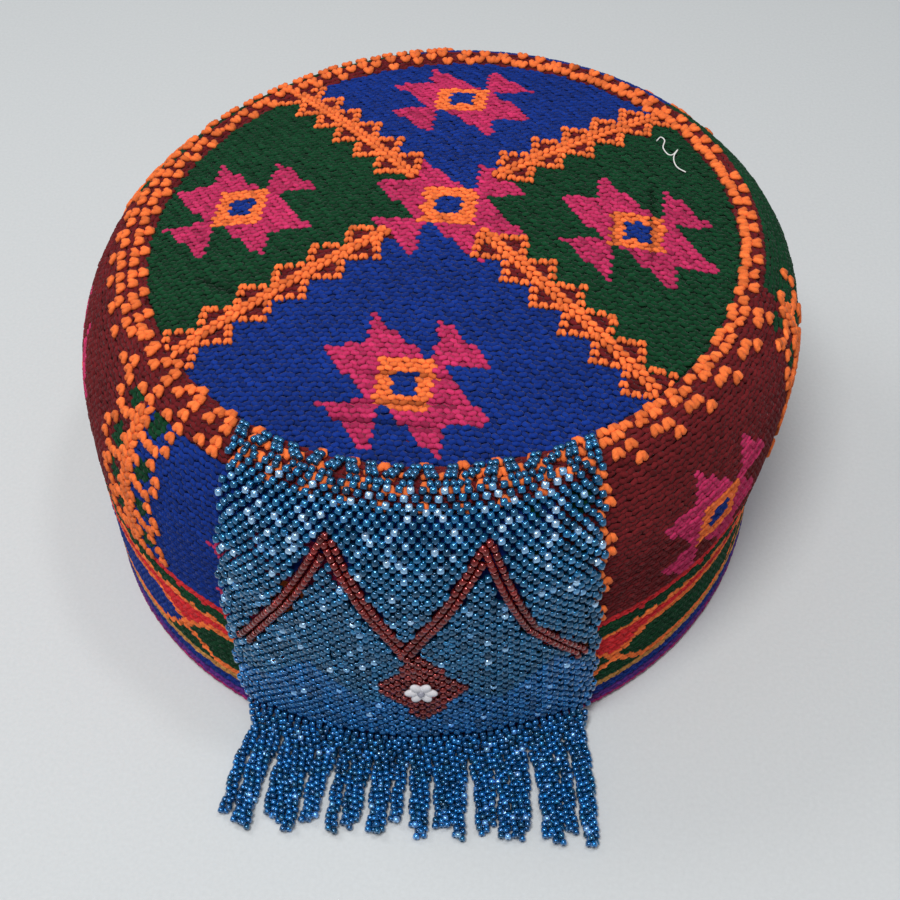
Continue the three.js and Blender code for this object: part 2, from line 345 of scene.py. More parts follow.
def cloth_shell(name, columns, rows, point, chart, node):
    """A sheet laid on the cap, coloured face by face, and given the cloth's thickness inward."""
    piece, flat = lay_grid(name, columns, rows, point, -CLOTH_SINK)
    mesh = piece.data
    centres = np.array([[flat[i][:2] for i in face.vertices] for face in mesh.polygons]).mean(1)
    mesh.polygons.foreach_set("material_index", chart(centres[:, 0], centres[:, 1]).astype(np.int32))
    for material in YARNS:
        mesh.materials.append(material)
    close_seams(0.05)
    if mesh.polygons[0].normal.dot(mesh.polygons[0].center - INSIDE_CAP) < 0:
        mesh.flip_normals()
    thick = piece.modifiers.new("cloth thickness", "SOLIDIFY")
    thick.thickness = (WALL - CLOTH_SINK) * MM
    thick.offset = -1
    bpy.ops.object.modifier_apply(modifier=thick.name)
    finish_cloth(piece, CLOTH_PAINTED_SHADE)
    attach(piece, "root")
    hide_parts(node)


DOME_POLE, DOME_MARGIN = 0.004, 0.005


def dome_place(around, out, lift):
    """The dome as rings: around the cap, and from the middle out to the ring braid."""
    return cap_point(around * 360, 3 - np.maximum(out, DOME_POLE) * (3 - RING_TO - DOME_MARGIN), lift)


def dome_chart(around, out):
    reach = out * (3 - RING_TO) * RING_RADIUS
    turn = around * 2 * math.pi
    x, y = reach * np.sin(turn), -reach * np.cos(turn)
    u = x * math.cos(CHART_TURN) + y * math.sin(CHART_TURN)
    v = -x * math.sin(CHART_TURN) + y * math.cos(CHART_TURN)
    return crown_chart(u, v)


cloth_shell("crown_cloth", 110, 26, dome_place, dome_chart, "crown_top")


# Crown stitches. Each worked stitch of the top is a pair of plump yarn legs leaning to each
# other, three strokes high, in straight rows. The colour changes from stitch to stitch, the
# pull of the yarn raises faint slanting ridges, and the rows part along a few creases. The
# ridges are painted lighter on their crests and darker between them, and the creases darker,
# as painted light and shade.

STROKE_PITCH_A, STROKE_PITCH_B = STITCH_WIDE / 2, STITCH_HIGH / 3
TWILL_PITCH = 5.4
# for each ring of a strand, its share of the way along and of the full thickness
STRAND_RINGS = ((0.24, 0.92), (0.76, 0.92))
BOW_GAIN = 1.3
picks = np.random.default_rng(5)


def strand_piece(name, starts, ends, ups, width, height, bow, colour, tone, sides=5):
    """Short plump strands as one mesh: pointed at both ends, round in section and bowed outward."""
    count = len(starts)
    run = ends - starts
    length = np.linalg.norm(run, axis=1, keepdims=True)
    along = run / np.maximum(length, 1e-9)
    across = np.cross(ups, along)
    across /= np.linalg.norm(across, axis=1, keepdims=True)
    up = np.cross(along, across)
    width, height, bow = (np.broadcast_to(np.asarray(size, float), (count,))[:, None] * MM
                          for size in (width, height, bow))
    points = [starts[:, None, :]]
    uvs = [np.zeros((count, 1, 2))]
    shift = picks.uniform(0, 9, (count, 1))
    turns = [2 * math.pi * k / sides + math.pi / 2 for k in range(sides)]
    side = np.array([math.cos(turn) for turn in turns])
    for share, fat in STRAND_RINGS:
        middle = starts + run * share + up * bow * (1 - (2 * share - 1) ** 2) * BOW_GAIN
        ring = []
        for turn in turns:
            spoke = across * width / 2 * fat * math.cos(turn)
            ring.append(middle + spoke + up * height / 2 * fat * math.sin(turn))
        points.append(np.stack(ring, 1))
        u = np.repeat(length * share / MM, sides, 1) + shift
        uvs.append(np.stack([u, side[None, :] * width / MM / 2 + np.zeros((count, 1))], -1))
    points.append(ends[:, None, :])
    uvs.append(np.stack([length / MM + shift, np.zeros((count, 1))], -1))
    each = 2 + 2 * sides
    first, last = 0, each - 1
    faces = []
    for k in range(sides):
        a, b = 1 + k, 1 + (k + 1) % sides
        c, d = a + sides, b + sides
        faces += [(first, b, a), (a, b, d), (a, d, c), (c, d, last)]
    faces = np.array(faces)
    triangles = (faces[None] + (np.arange(count) * each)[:, None, None]).reshape(-1, 3)
    points = np.concatenate(points, 1).reshape(-1, 3)
    uv = np.concatenate(uvs, 1).reshape(-1, 2)
    tones = np.repeat(np.broadcast_to(tone, (count,)), each)
    colours = np.repeat(colour, len(faces))
    piece = mesh_piece(name, points, triangles, uv, tones, colours, YARNS)
    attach(piece, "root")
    return piece


def tangents(point, a, b, lift):
    """A place on the cap with its unit directions along the row, up the rows and outward."""
    step = 0.05
    here = point(a, b, lift)
    over = point(a + step, b, lift) - here
    up = point(a, b + step, lift) - here
    over /= np.linalg.norm(over, axis=1, keepdims=True)
    up /= np.linalg.norm(up, axis=1, keepdims=True)
    out = np.cross(over, up)
    out /= np.linalg.norm(out, axis=1, keepdims=True)
    return here, over, up, out


def stroke_rows(width_a, low_b, high_b, closed, from_a=0.0):
    """Places of the strokes of a field: row by row, every other row shifted by half a stroke."""
    rows = int(round((high_b - low_b) / STROKE_PITCH_B))
    columns = int(round(width_a / STROKE_PITCH_A))
    if closed:
        columns -= columns % 2
    pitch_a = width_a / columns
    row, column = np.meshgrid(np.arange(rows), np.arange(columns), indexing="ij")
    row, column = row.ravel(), column.ravel()
    a = from_a + (column + 0.5 * (row % 2)) * pitch_a
    b = low_b + (row + 0.5) * (high_b - low_b) / rows
    return a, b, row, column


# creases of the top, each from end to end in mm on its chart
CREASES = (
    ((-10.0, -54.5), (9.5, -54.6)),
    ((-14.5, -62.8), (10.3, -61.6)),
    ((-17.0, -67.2), (6.5, -68.0)),
    ((54.2, 18.1), (55.1, -10.2)),
    ((44.7, 5.4), (45.0, -9.8)),
    ((-60.0, -24.0), (-40.0, -35.0)),
)
# the last value is how much darker strokes deep in a crease are painted: painted shade
CREASE_REACH, CREASE_OPENING, CREASE_DEPTH, CREASE_PAINTED_SHADE = 1.4, 0.5, 0.3, 0.6


def open_creases(a, b):
    """Shifts strokes off each crease, and says how deep in it they lie, from 0 to 1."""
    deep = np.zeros(len(a))
    for (a0, b0), (a1, b1) in CREASES:
        length = math.hypot(a1 - a0, b1 - b0)
        side = ((a - a0) * (b1 - b0) - (b - b0) * (a1 - a0)) / length
        near = np.clip(1 - near_line(a, b, (a0, b0), (a1, b1)) / CREASE_REACH, 0, 1)
        push = CREASE_OPENING * near * np.where(side > 0, 1.0, -1.0)
        a = a + push * (b1 - b0) / length
        b = b - push * (a1 - a0) / length
        deep = np.maximum(deep, near)
    return a, b, deep


# lean in radians; sink, thickness and bow in mm; half length in shares of the pitch
LEG_LEAN, LEG_SINK, LEG_THICK, LEG_BOW, LEG_HALF = 0.36, 0.28, 0.95, 0.26, 0.72


def work_strokes(name, point, field, chart, ridge, lift=0.0, twill=0.0, deep=0.0):
    """Lays yarn strokes over a field, in legs that lean to each other, coloured by the chart, with painted
    light on the slanting ridges and painted shade in the creases.
    """
    a, b, row, column = field
    lean = np.where(column % 2 == 0, 1.0, -1.0) * LEG_LEAN + picks.normal(0, 0.07, len(a))
    a = a + picks.normal(0, 0.09, len(a))
    b = b + picks.normal(0, 0.07, len(a))
    colour = chart(a, b)
    phase = (row % 3 - 1.0) / 1.5
    slant = np.sin((a + b) * 2 * math.pi / TWILL_PITCH)
    lift_here = lift - LEG_SINK + ridge * (1 - phase ** 2) + picks.normal(0, 0.05, len(a))
    lift_here = lift_here + twill * slant - CREASE_DEPTH * deep
    here, over, up, out = tangents(point, a, b, 0.0)
    middle = here + out * (lift_here * MM)[:, None]
    half = STROKE_PITCH_A * LEG_HALF * MM * picks.uniform(0.94, 1.08, len(a))[:, None]
    way = over * np.cos(lean)[:, None] + up * np.sin(lean)[:, None]
    patchy = 0.08 * np.sin(a * 0.11 + 1.3 * np.sin(b * 0.07)) * np.sin(b * 0.19 - a * 0.05)
    # the tone rises and falls with the slanting ridges: painted light on their crests, painted shade
    # between them
    tone = np.clip(picks.normal(1.0, 0.12, len(a)) + patchy + 0.5 * twill * slant, 0.62, 1.4)
    # strokes deep in a crease are painted darker: painted shade
    piece = strand_piece(name, middle - way * half, middle + way * half, out,
                         STROKE_PITCH_B * 1.3, LEG_THICK, LEG_BOW, colour, tone * (1 - CREASE_PAINTED_SHADE * deep))


reach = (3 - RING_TO) * RING_RADIUS
a, b, row, column = stroke_rows(2 * reach, -reach, reach, False, -reach)
inside = np.hypot(a, b) < reach - 0.4
a, b, row, column = a[inside], b[inside], row[inside], column[inside]
a, b, deep = open_creases(a, b)
work_strokes("crown_stitches", crown_point, (a, b, row, column), crown_chart, 0.14,
             twill=0.17, deep=deep)


# Leafy dividers of the crown. Orange yarn runs over the top from corner to corner as a twisted
# spine, and each maroon leaf beside it is edged with small raised orange dots.

def raised_strokes(point, rows):
    """Strokes from a list of rows: a, b, direction in degrees, length, width, lift."""
    table = np.array(rows)
    a, b, angle, length, width, lift = table.T
    here, over, up, out = tangents(point, a, b, 0.0)
    middle = here + out * (lift * MM)[:, None]
    turn = np.radians(angle)
    way = over * np.cos(turn)[:, None] + up * np.sin(turn)[:, None]
    half = (length / 2 * MM)[:, None]
    return middle - way * half, middle + way * half, out, width


def dot_rows(u, v, lift, size=1.0):
    """One raised tuft: two short legs of a stitch that lean to each other."""
    apart, length, thick = 0.5 * size, 2.4 * size, 1.35 * size
    return [(u - apart, v, 66, length, thick, lift), (u + apart, v, 114, length, thick, lift)]


def spine_rows(u, v, way, step, lift, size=1.0):
    """One step of a spine: two slanting strokes side by side, as in a twisted cord."""
    angle = math.degrees(math.atan2(way[1], way[0]))
    side_u, side_v = -way[1] * 0.85 * size, way[0] * 0.85 * size
    ahead_u, ahead_v = way[0] * step / 2, way[1] * step / 2
    length = step * 1.4 * size
    return [
        (u + side_u, v + side_v, angle + 32, length, 1.7 * size, lift),
        (u - side_u + ahead_u, v - side_v + ahead_v, angle - 32, length, 1.7 * size, lift - 0.1),
    ]


def orange_yarn(name, point, rows, thick):
    """Works rows of raised strokes in orange yarn, as one piece."""
    starts, ends, outs, width = raised_strokes(point, rows)
    piece = strand_piece(name, starts, ends, outs, width, thick, 0.4,
                         np.full(len(starts), ORANGE), picks.normal(0.97, 0.13, len(starts)), 6)


DOT_STEP, SPINE_STEP = 2.5, 2.2
rows = []
for first, corner, last in crown_leaves():
    for start, end in ((first, corner), (corner, last)):
        length = float(np.linalg.norm(end - start))
        for part in np.linspace(0, 1, max(2, round(length / DOT_STEP) + 1))[:-1]:
            u, v = start + (end - start) * part + picks.normal(0, 0.22, 2)
            rows += dot_rows(u, v, 0.42)
for divider in CROWN_DIVIDERS:
    start, way, length = divider_way(divider)
    for along in np.arange(-1.0, length, SPINE_STEP):
        u, v = start + way * along
        rows += spine_rows(u, v, way, SPINE_STEP, 0.5)
rows = [r for r in rows if math.hypot(r[0], r[1]) < reach - 0.3]
orange_yarn("crown_divider_yarn", crown_point, rows, 1.2)


# Side band. The wall and the turn of the shoulder are worked round and round in the same yarn,
# in ridged rows, in sectors of one colour parted by leafy dividers, with a star in each sector.

WALL_RADIUS = 97.0
AROUND = 2 * math.pi * WALL_RADIUS
station_table = np.linspace(0, RING_TO, 400)
radius_table, height_table = section_at(station_table)
climb = np.hypot(np.diff(radius_table), np.diff(height_table))
climb_table = np.concatenate([[0], np.cumsum(climb)])


def climb_of(station):
    return float(np.interp(station, station_table, climb_table))


def wall_point(a, b, lift=0.0):
    """A point of the wall: a mm round from the front, b mm up along the surface from the rim."""
    return cap_point(np.degrees(a / WALL_RADIUS), np.interp(b, climb_table, station_table), lift)


BORDER_LOW, BORDER_HIGH = climb_of(5.3 / BULGE_HEIGHT), climb_of(42.0 / BULGE_HEIGHT)
BAND_LOW, BAND_HIGH = BORDER_HIGH, climb_of(RING_FROM)
# azimuth of each divider, and the colour and star azimuth of the sector that follows it
SECTORS = (
    {"from": -49.5, "to": 20.5, "colour": BLUE, "star": -18.5},
    {"from": 20.5, "to": 77.0, "colour": MAROON, "star": 49.5},
    {"from": 77.0, "to": 133.0, "colour": GREEN, "star": 105.0},
    {"from": 133.0, "to": 190.0, "colour": BLUE, "star": 161.5},
    {"from": 190.0, "to": 249.0, "colour": GREEN, "star": 219.5},
    {"from": 249.0, "to": 310.5, "colour": MAROON, "star": 280.0},
)
SIDE_STAR_UP = 57.5
SIDE_LEAF_STEP, SIDE_LEAF_OUT, SIDE_LEAF_FIRST = 12.2, 6.2, 6.4
SIDE_LEAF_LONG, SIDE_LEAF_SHORT, SIDE_LEAF_TURN = 4.6, 3.6, math.radians(60)


def side_leaves(divider):
    """Middle of each leaf of one side divider and the side it grows to."""
    a = math.radians(divider) * WALL_RADIUS
    return [(a + side * SIDE_LEAF_OUT, b - 0.6 * side, side)
            for b in np.arange(BAND_LOW + SIDE_LEAF_FIRST, BAND_HIGH + 3, SIDE_LEAF_STEP)
            for side in (-1, 1)]


def band_chart(a, b):
    """Yarn colour on the wall."""
    azimuth = np.degrees(a / WALL_RADIUS)
    colour = np.full(len(a), BLUE)
    for sector in SECTORS:
        share = (azimuth - sector["from"]) % 360
        colour[share < sector["to"] - sector["from"]] = sector["colour"]
    for sector in SECTORS:
        star_a = math.radians(sector["star"]) * WALL_RADIUS
        near_a = (a - star_a + AROUND / 2) % AROUND - AROUND / 2
        paint_star(colour, near_a, b, 0.0, SIDE_STAR_UP, MAROON if sector["colour"] != MAROON else BLUE)
        for leaf_a, leaf_b, side in side_leaves(sector["from"]):
            off_a = (a - leaf_a + AROUND / 2) % AROUND - AROUND / 2
            off_b = b - leaf_b
            long_way = off_a * side * math.cos(SIDE_LEAF_TURN) + off_b * math.sin(SIDE_LEAF_TURN)
            short_way = -off_a * side * math.sin(SIDE_LEAF_TURN) + off_b * math.cos(SIDE_LEAF_TURN)
            colour[np.abs(long_way) / SIDE_LEAF_LONG + np.abs(short_way) / SIDE_LEAF_SHORT < 1] = GREEN
    return colour


def band_place(around, up, lift):
    return wall_point(around * AROUND, BAND_LOW + 0.2 + up * (BAND_HIGH - BAND_LOW - 0.4), lift)


cloth_shell("side_cloth", 160, 24, band_place,
            lambda around, up: band_chart(around * AROUND, BAND_LOW + up * (BAND_HIGH - BAND_LOW)),
            "side_band")

PANEL_LEFT, PANEL_RIGHT, PANEL_TOP_INSET, PANEL_LOW = -43.0, 47.4, 5.5, 7.4
a, b, row, column = stroke_rows(AROUND, BAND_LOW, BAND_HIGH, True)
azimuth = (np.degrees(a / WALL_RADIUS) + 180) % 360 - 180
x_here = wall_point(a, b, 0.0)[:, 0] / MM - AXIS_X
hidden = (np.abs(azimuth) < 60) & (x_here > PANEL_LEFT + 8) & (x_here < PANEL_RIGHT - 4)
halves = {"side_stitches_front": np.abs(azimuth) < 90, "side_stitches_back": np.abs(azimuth) >= 90}
for name, half in halves.items():
    use = half & ~hidden
    work_strokes(name, wall_point, (a[use], b[use], row[use], column[use]), band_chart, 0.34)


# Leafy dividers of the side. Orange yarn climbs the wall as a twisted spine between pairs of
# dark green leaves, and raised orange tufts edge each leaf.

# places of the tufts round one leaf, in mm away from the spine and up
SIDE_LEAF_DOTS = (
    (3.4, 3.4), (6.0, 0.6), (6.3, -2.8), (3.4, -5.0),
    (0.4, -5.2), (-2.4, -4.1), (-4.6, -1.6), (-3.4, 1.6),
)
SIDE_TUFT, SIDE_SPINE_STEP, SIDE_SPINE_SIZE = 1.4, 2.3, 1.25
rows = []
for sector in SECTORS:
    a_spine = math.radians(sector["from"]) * WALL_RADIUS
    for b_here in np.arange(BAND_LOW + 0.8, BAND_HIGH - 0.4, SIDE_SPINE_STEP):
        rows += spine_rows(a_spine, b_here, (0.0, 1.0), SIDE_SPINE_STEP, 0.55, SIDE_SPINE_SIZE)
    for leaf_a, leaf_b, side in side_leaves(sector["from"]):
        for da, db in SIDE_LEAF_DOTS:
            jitter_a, jitter_b = picks.normal(0, 0.3, 2)
            rows += dot_rows(leaf_a + da * side + jitter_a, leaf_b + db + jitter_b, 0.5, SIDE_TUFT)
rows = [r for r in rows if BAND_LOW + 0.6 < r[1] < BAND_HIGH - 0.3]
places = wall_point(np.array([r[0] for r in rows]), np.array([r[1] for r in rows]))
x_here = places[:, 0] / MM - AXIS_X
under_panel = (x_here > PANEL_LEFT + 2) & (x_here < PANEL_RIGHT) & (places[:, 1] < 0)
rows = [r for r, under in zip(rows, under_panel) if not under]
orange_yarn("side_divider_yarn", wall_point, rows, 1.2)


# Rim border. The foot of the wall is worked in stripes, with a chain of long lens shapes in
# green and blue between orange lines that cross.

LENS_FIRST, LENS_STEP = -39.5, 36.0
LENS_MIDDLE, LENS_HALF, LENS_GAP, LENS_TAPER = 21.0, 6.9, 0.015, 0.17
LENS_COLOURS = (GREEN, GREEN, GREEN, BLUE, GREEN, BLUE, GREEN, BLUE, GREEN, BLUE)
LINE_WIDE = 2.6
# upper limit of each stripe, in mm over the rim
STRIPES = (
    {"top": 9.6, "colour": BLUE},
    {"top": 11.6, "colour": GOLD},
    {"top": 32.6, "colour": RED},
    {"top": 34.8, "colour": ORANGE},
    {"top": 38.8, "colour": GREEN},
    {"top": 42.6, "colour": RED},
)


def border_chart(a, b):
    """Yarn colour of the border, by height above the surface and azimuth."""
    height = np.interp(b, climb_table, height_table)
    azimuth = np.degrees(a / WALL_RADIUS)
    share = ((azimuth - LENS_FIRST) / LENS_STEP) % len(LENS_COLOURS)
    which = np.floor(share).astype(int) % len(LENS_COLOURS)
    part = share - np.floor(share)
    end = 0.5 - np.abs(part - 0.5)
    half = LENS_HALF * np.clip((end - LENS_GAP) / LENS_TAPER, 0, 1)
    off = np.abs(height - LENS_MIDDLE)
    colour = np.full(len(a), RED)
    for stripe in reversed(STRIPES):
        colour[height < stripe["top"]] = stripe["colour"]
    inner = (height > STRIPES[1]["top"]) & (height < STRIPES[2]["top"])
    colour[inner & (height < LENS_MIDDLE) & (off > half + LINE_WIDE)] = GREEN
    colour[inner & (off < half + LINE_WIDE)] = ORANGE
    lens = np.array(LENS_COLOURS)[which]
    return np.where(inner & (off < half), lens, colour)


def border_place(around, up, lift):
    return wall_point(around * AROUND, BORDER_LOW + up * (BORDER_HIGH - BORDER_LOW - 0.1), lift)


cloth_shell("border_cloth", 180, 14, border_place,
            lambda around, up: border_chart(around * AROUND, BORDER_LOW + up * (BORDER_HIGH - BORDER_LOW)),
            "rim_border")
border_field = stroke_rows(AROUND, BORDER_LOW, BORDER_HIGH, True)
work_strokes("border_stitches", wall_point, border_field, border_chart, 0.2)


# Rim edge. The last rounds are worked thicker, in purple and rose, and the cap stands on them.
# A rounded roll of rose cloth lies under the stitches, painted darker than its yarn as painted
# shade in the gaps between them.

EDGE_LOW, EDGE_HIGH = 0.75, climb_of(5.0 / BULGE_HEIGHT)
# the roll's section, in mm outward and over the rim
EDGE_OUTLINE = np.array([
    (-1.2, 0.15), (0.0, 1.1), (0.1, 3.8), (-0.9, 4.85), (-2.6, 4.85),
    (-3.5, 3.9), (-3.5, 1.1), (-2.4, 0.15), (-1.2, 0.15),
])
# the first value is the darker tone the rose roll is painted in: painted shade between the stitches
EDGE_PAINTED_SHADE, ROSE_BELOW = 0.75, 2.7


def edge_place(around, turn, lift):
    """The edge's rounded section, from the foot up the outside and down the inside."""
    steps = np.linspace(0, 1, len(EDGE_OUTLINE))
    out = np.interp(turn, steps, EDGE_OUTLINE[:, 0])
    height = np.interp(turn, steps, EDGE_OUTLINE[:, 1])
    return cap_point(around * 360, height / BULGE_HEIGHT, out + lift)


edge, _ = lay_grid("edge_cloth", 160, 8, edge_place, 0.0)
edge.data.materials.append(YARNS[ROSE])
close_seams(0.02)
finish_cloth(edge, EDGE_PAINTED_SHADE)
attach(edge, "root")
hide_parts("rim_edge")


def edge_chart(a, b):
    return np.where(b > ROSE_BELOW, PURPLE, ROSE)


edge_field = stroke_rows(AROUND, EDGE_LOW, EDGE_HIGH + 0.1, True)
work_strokes("edge_stitches", wall_point, edge_field, edge_chart, 0.0, lift=0.25)


# Ring braid. Where the top meets the side a raised maroon braid runs round, with orange tufts
# worked over it: bars over the front and the left half, arcs at the front left, open flowers
# at the front right, and close pairs round the right and the back right.

RING_LIFT, RING_LIFT_SHARE = 1.3, 0.95
RING_LOW, RING_HIGH = climb_of(RING_FROM + 0.02), climb_of(RING_TO)
RING_MIDDLE = (RING_LOW + RING_HIGH) / 2
RING_HALF = (RING_HIGH - RING_LOW) / 2
RING_GROUND = 0.8


def ring_lift(b):
    off = np.clip(np.abs(b - RING_MIDDLE) / RING_HALF, 0, 1)
    return RING_LIFT * (1 - off ** 2) * RING_LIFT_SHARE


def ring_point(a, b, lift=0.0):
    """A point on the raised back of the ring."""
    return wall_point(a, b, lift + ring_lift(b))


def ring_place(around, up, lift):
    b = RING_LOW + up * (RING_HIGH - RING_LOW)
    return wall_point(around * AROUND, b, lift + ring_lift(b))


cloth_shell("ring_cloth", 160, 6, ring_place, lambda around, up: np.full(len(around), MAROON),
            "crown_ring")


def ring_chart(a, b):
    """Maroon under the braid, and at the back the side's own colour outside it."""
    azimuth = np.degrees(a / WALL_RADIUS) % 360
    at_back = (azimuth > SECTORS[2]["from"]) & (azimuth < SECTORS[4]["to"])
    return np.where(at_back & (b < RING_MIDDLE - RING_GROUND), band_chart(a, b), MAROON)


ring_field = stroke_rows(AROUND, BAND_HIGH, RING_HIGH + 0.5, True)
work_strokes("ring_stitches", ring_point, ring_field, ring_chart, 0.1)

# places of the orange tufts of one motif, in mm round the ring and across it
BAR = ((-1.0, -4.2), (0.2, -1.4), (0.3, 1.5), (-0.8, 4.3), (4.6, -1.0), (4.4, 2.0))
ARC = (
    (-4.2, 0.8), (-2.9, 3.4), (-0.2, 4.6), (2.4, 3.4),
    (3.4, 0.8), (3.2, -2.0), (-1.6, -4.2), (3.4, -4.6),
)
FLOWER = (
    (-0.4, 2.0), (0.9, 4.6), (-3.4, 4.2), (-4.6, 1.4),
    (0.6, -1.2), (2.6, -3.8), (3.9, 3.2), (-2.6, -1.6),
)
EDGE_PAIR = ((-1.7, 4.2), (1.6, 3.8), (0.1, 1.2))
RING_TUFT = 1.45
# azimuths of the stretch that a motif fills, and the width of one motif in mm
RING_MOTIFS = (
    {"from": -180, "to": -64, "wide": 9.8, "tufts": BAR},
    {"from": -64, "to": -32, "wide": 12.4, "tufts": ARC},
    {"from": -32, "to": 22, "wide": 9.8, "tufts": BAR},
    {"from": 22, "to": 74, "wide": 12.2, "tufts": FLOWER},
    {"from": 74, "to": 180, "wide": 6.6, "tufts": EDGE_PAIR},
)
rows = []
for motif in RING_MOTIFS:
    low_a, high_a = (math.radians(motif[key]) * WALL_RADIUS for key in ("from", "to"))
    count = round((high_a - low_a) / motif["wide"])
    for index in range(count):
        middle_a = low_a + (index + 0.5) * (high_a - low_a) / count
        for da, db in motif["tufts"]:
            jitter_a, jitter_b = picks.normal(0, 0.35, 2)
            rows += dot_rows(middle_a + da + jitter_a, RING_MIDDLE + db + jitter_b, 0.5, RING_TUFT)
orange_yarn("ring_orange_yarn", ring_point, rows, 1.5)


# Bead panel. Small round glass beads are woven edge to edge into a sheet that hangs over the
# front wall: teal glass, with a dark red diamond and two chevrons, each leg two beads wide.
# Short bead strands at the top sew it to the ring. The beads are painted lighter towards the
# top, and some of them, more at the top, much lighter as painted glints.

BEAD_UNIT = 2.72
BEAD_RADIUS, BEAD_LENGTH = 1.02, 1.85
# half a bead's outline from hole to hole, in shares of its length and radius
BEAD_OUTLINE = ((-0.5, 0.5), (-0.38, 0.93), (0.0, 1.0), (0.38, 0.93), (0.5, 0.5))
PANEL_THICK, PANEL_GAP = 2.1, 0.3
WEAVE_TOP = climb_of(1.88)
TEAL, DEEP_TEAL, DARK_RED = range(3)


def lined_glass(name, hex_colour):
    """Silver-lined seed-bead glass: light comes back from the lined hole through the colour.

    Each bead is a little lighter or darker, with a hard small glint, and the lightest are painted towards
    pale silver as painted glints."""
    material, tree, shader = new_material(name)
    shader.inputs["Metallic"].default_value = 0.68
    shader.inputs["Roughness"].default_value = 0.2
    shader.inputs["IOR"].default_value = 1.5
    shader.inputs["Coat Weight"].default_value = 1.0
    shader.inputs["Coat Roughness"].default_value = 0.04
    # the tone read here is random from bead to bead, and also holds painted light: beads lighter towards
    # the top of the panel, and painted glints
    tone = add_node(tree, "ShaderNodeAttribute", {"attribute_name": "tone"})
    dyed = add_node(tree, "ShaderNodeMix", {"data_type": "RGBA", "blend_type": "MULTIPLY"})
    dyed.inputs[0].default_value = 1.0
    dyed.inputs[6].default_value = linear(hex_colour)
    tree.links.new(tone.outputs["Fac"], dyed.inputs[7])
    # beads with a high tone are mixed towards pale silver: painted glints
    painted_glint_share = add_node(tree, "ShaderNodeMapRange", {"From Min": 1.9, "From Max": 4.2, "To Max": 0.6},
                      {"Value": tone.outputs["Fac"]})
    painted_glint_colour = add_node(tree, "ShaderNodeMix", {"data_type": "RGBA"})
    painted_glint_colour.inputs[7].default_value = linear("#dcebf2")
    tree.links.new(painted_glint_share.outputs["Result"], painted_glint_colour.inputs[0])
    tree.links.new(dyed.outputs[2], painted_glint_colour.inputs[6])
    tree.links.new(painted_glint_colour.outputs[2], shader.inputs["Base Color"])
    return material


GLASSES = [
    lined_glass("silver-lined bead glass, teal", "#13608c"),
    lined_glass("silver-lined bead glass, deep blue teal", "#1069a8"),
    lined_glass("silver-lined bead glass, dark red", "#7a1916"),
]


def bead_piece(name, centres, axes, radius, length, colour, tone, sides=8):
    """Many beads as one mesh: a rounded barrel round a hole, turned to its own thread."""
    count = len(centres)
    axes = axes / np.linalg.norm(axes, axis=1, keepdims=True)
    helper = np.where(np.abs(axes[:, 2:3]) < 0.8, [[0.0, 0.0, 1.0]], [[1.0, 0.0, 0.0]])
    one = np.cross(axes, helper)
    one /= np.linalg.norm(one, axis=1, keepdims=True)
    two = np.cross(axes, one)
    rings = []
    for along, out in BEAD_OUTLINE:
        for k in range(sides):
            turn = 2 * math.pi * k / sides
            spoke = one * math.cos(turn) + two * math.sin(turn)
            rings.append(centres + axes * along * length * MM + spoke * out * radius * MM)
    points = np.stack(rings, 1).reshape(-1, 3)
    faces = []
    loops = len(BEAD_OUTLINE)
    for ring in range(loops):
        for k in range(sides):
            a, b = ring * sides + k, ring * sides + (k + 1) % sides
            c, d = (ring + 1) % loops * sides + k, (ring + 1) % loops * sides + (k + 1) % sides
            faces += [(a, c, b), (b, c, d)]
    faces = np.array(faces)
    each = loops * sides
    triangles = (faces[None] + (np.arange(count) * each)[:, None, None]).reshape(-1, 3)
    tones, colours = np.repeat(tone, each), np.repeat(colour, len(faces))
    piece = mesh_piece(name, points, triangles, None, tones, colours, GLASSES)
    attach(piece, "root")
    return piece


def panel_point(x, b, lift=0.0):
    """A point over the front wall: x mm across as seen from the front, b mm up along the wall."""
    station = np.interp(b, climb_table, station_table)
    radius, height = section_at(station)
    azimuth = np.degrees(np.arcsin((x - LEAN_X * lean_share(height)) / radius))
    over_ring = ring_lift(b) * (b > RING_LOW)
    return cap_point(azimuth, station, lift + over_ring)


def panel_inset(b):
    """How far the left side of the panel is drawn in, by the height along the wall."""
    return PANEL_TOP_INSET * (b / WEAVE_TOP) ** 3


CHEVRON = ((-38.5, 38.0), (-13.9, 79.0), (2.5, 46.0), (22.3, 79.0), (32.0, 52.0), (44.0, 35.0))
CHEVRON_HALF, CHEVRON_ROW = 2.2, 0.98
DIAMOND_X, DIAMOND_Z, DIAMOND_WIDE, DIAMOND_TALL = 5.4, 30.3, 11.2, 16.0


def bead_chart(x, b):
    colour = np.where(b < 30 + 6 * np.sin(x * 0.21), DEEP_TEAL, TEAL)
    for start, end in zip(CHEVRON[:-1], CHEVRON[1:]):
        colour[near_line(x, b, start, end) < CHEVRON_HALF] = DARK_RED
    colour[np.abs(x - DIAMOND_X) / DIAMOND_WIDE + np.abs(b - DIAMOND_Z) / DIAMOND_TALL < 1] = DARK_RED
    return colour


def lay_chevrons(x, b, along_x, along_b):
    """Draws the beads of each chevron leg into two even rows that run along it."""
    for (x0, b0), (x1, b1) in zip(CHEVRON[:-1], CHEVRON[1:]):
        length = math.hypot(x1 - x0, b1 - b0)
        way_x, way_b = (x1 - x0) / length, (b1 - b0) / length
        along = (x - x0) * way_x + (b - b0) * way_b
        aside = (b - b0) * way_x - (x - x0) * way_b
        for side in (-1, 1):
            in_leg = (along > 0) & (along < length) & (np.abs(aside) < CHEVRON_HALF)
            row = np.flatnonzero(in_leg & (side * aside > 0))
            row = row[np.argsort(along[row])]
            spaced = (np.arange(len(row)) + 0.5) / len(row) * length
            x[row] = x0 + way_x * spaced - way_b * side * CHEVRON_ROW
            b[row] = b0 + way_b * spaced + way_x * side * CHEVRON_ROW
            along_x[row], along_b[row] = way_x, way_b


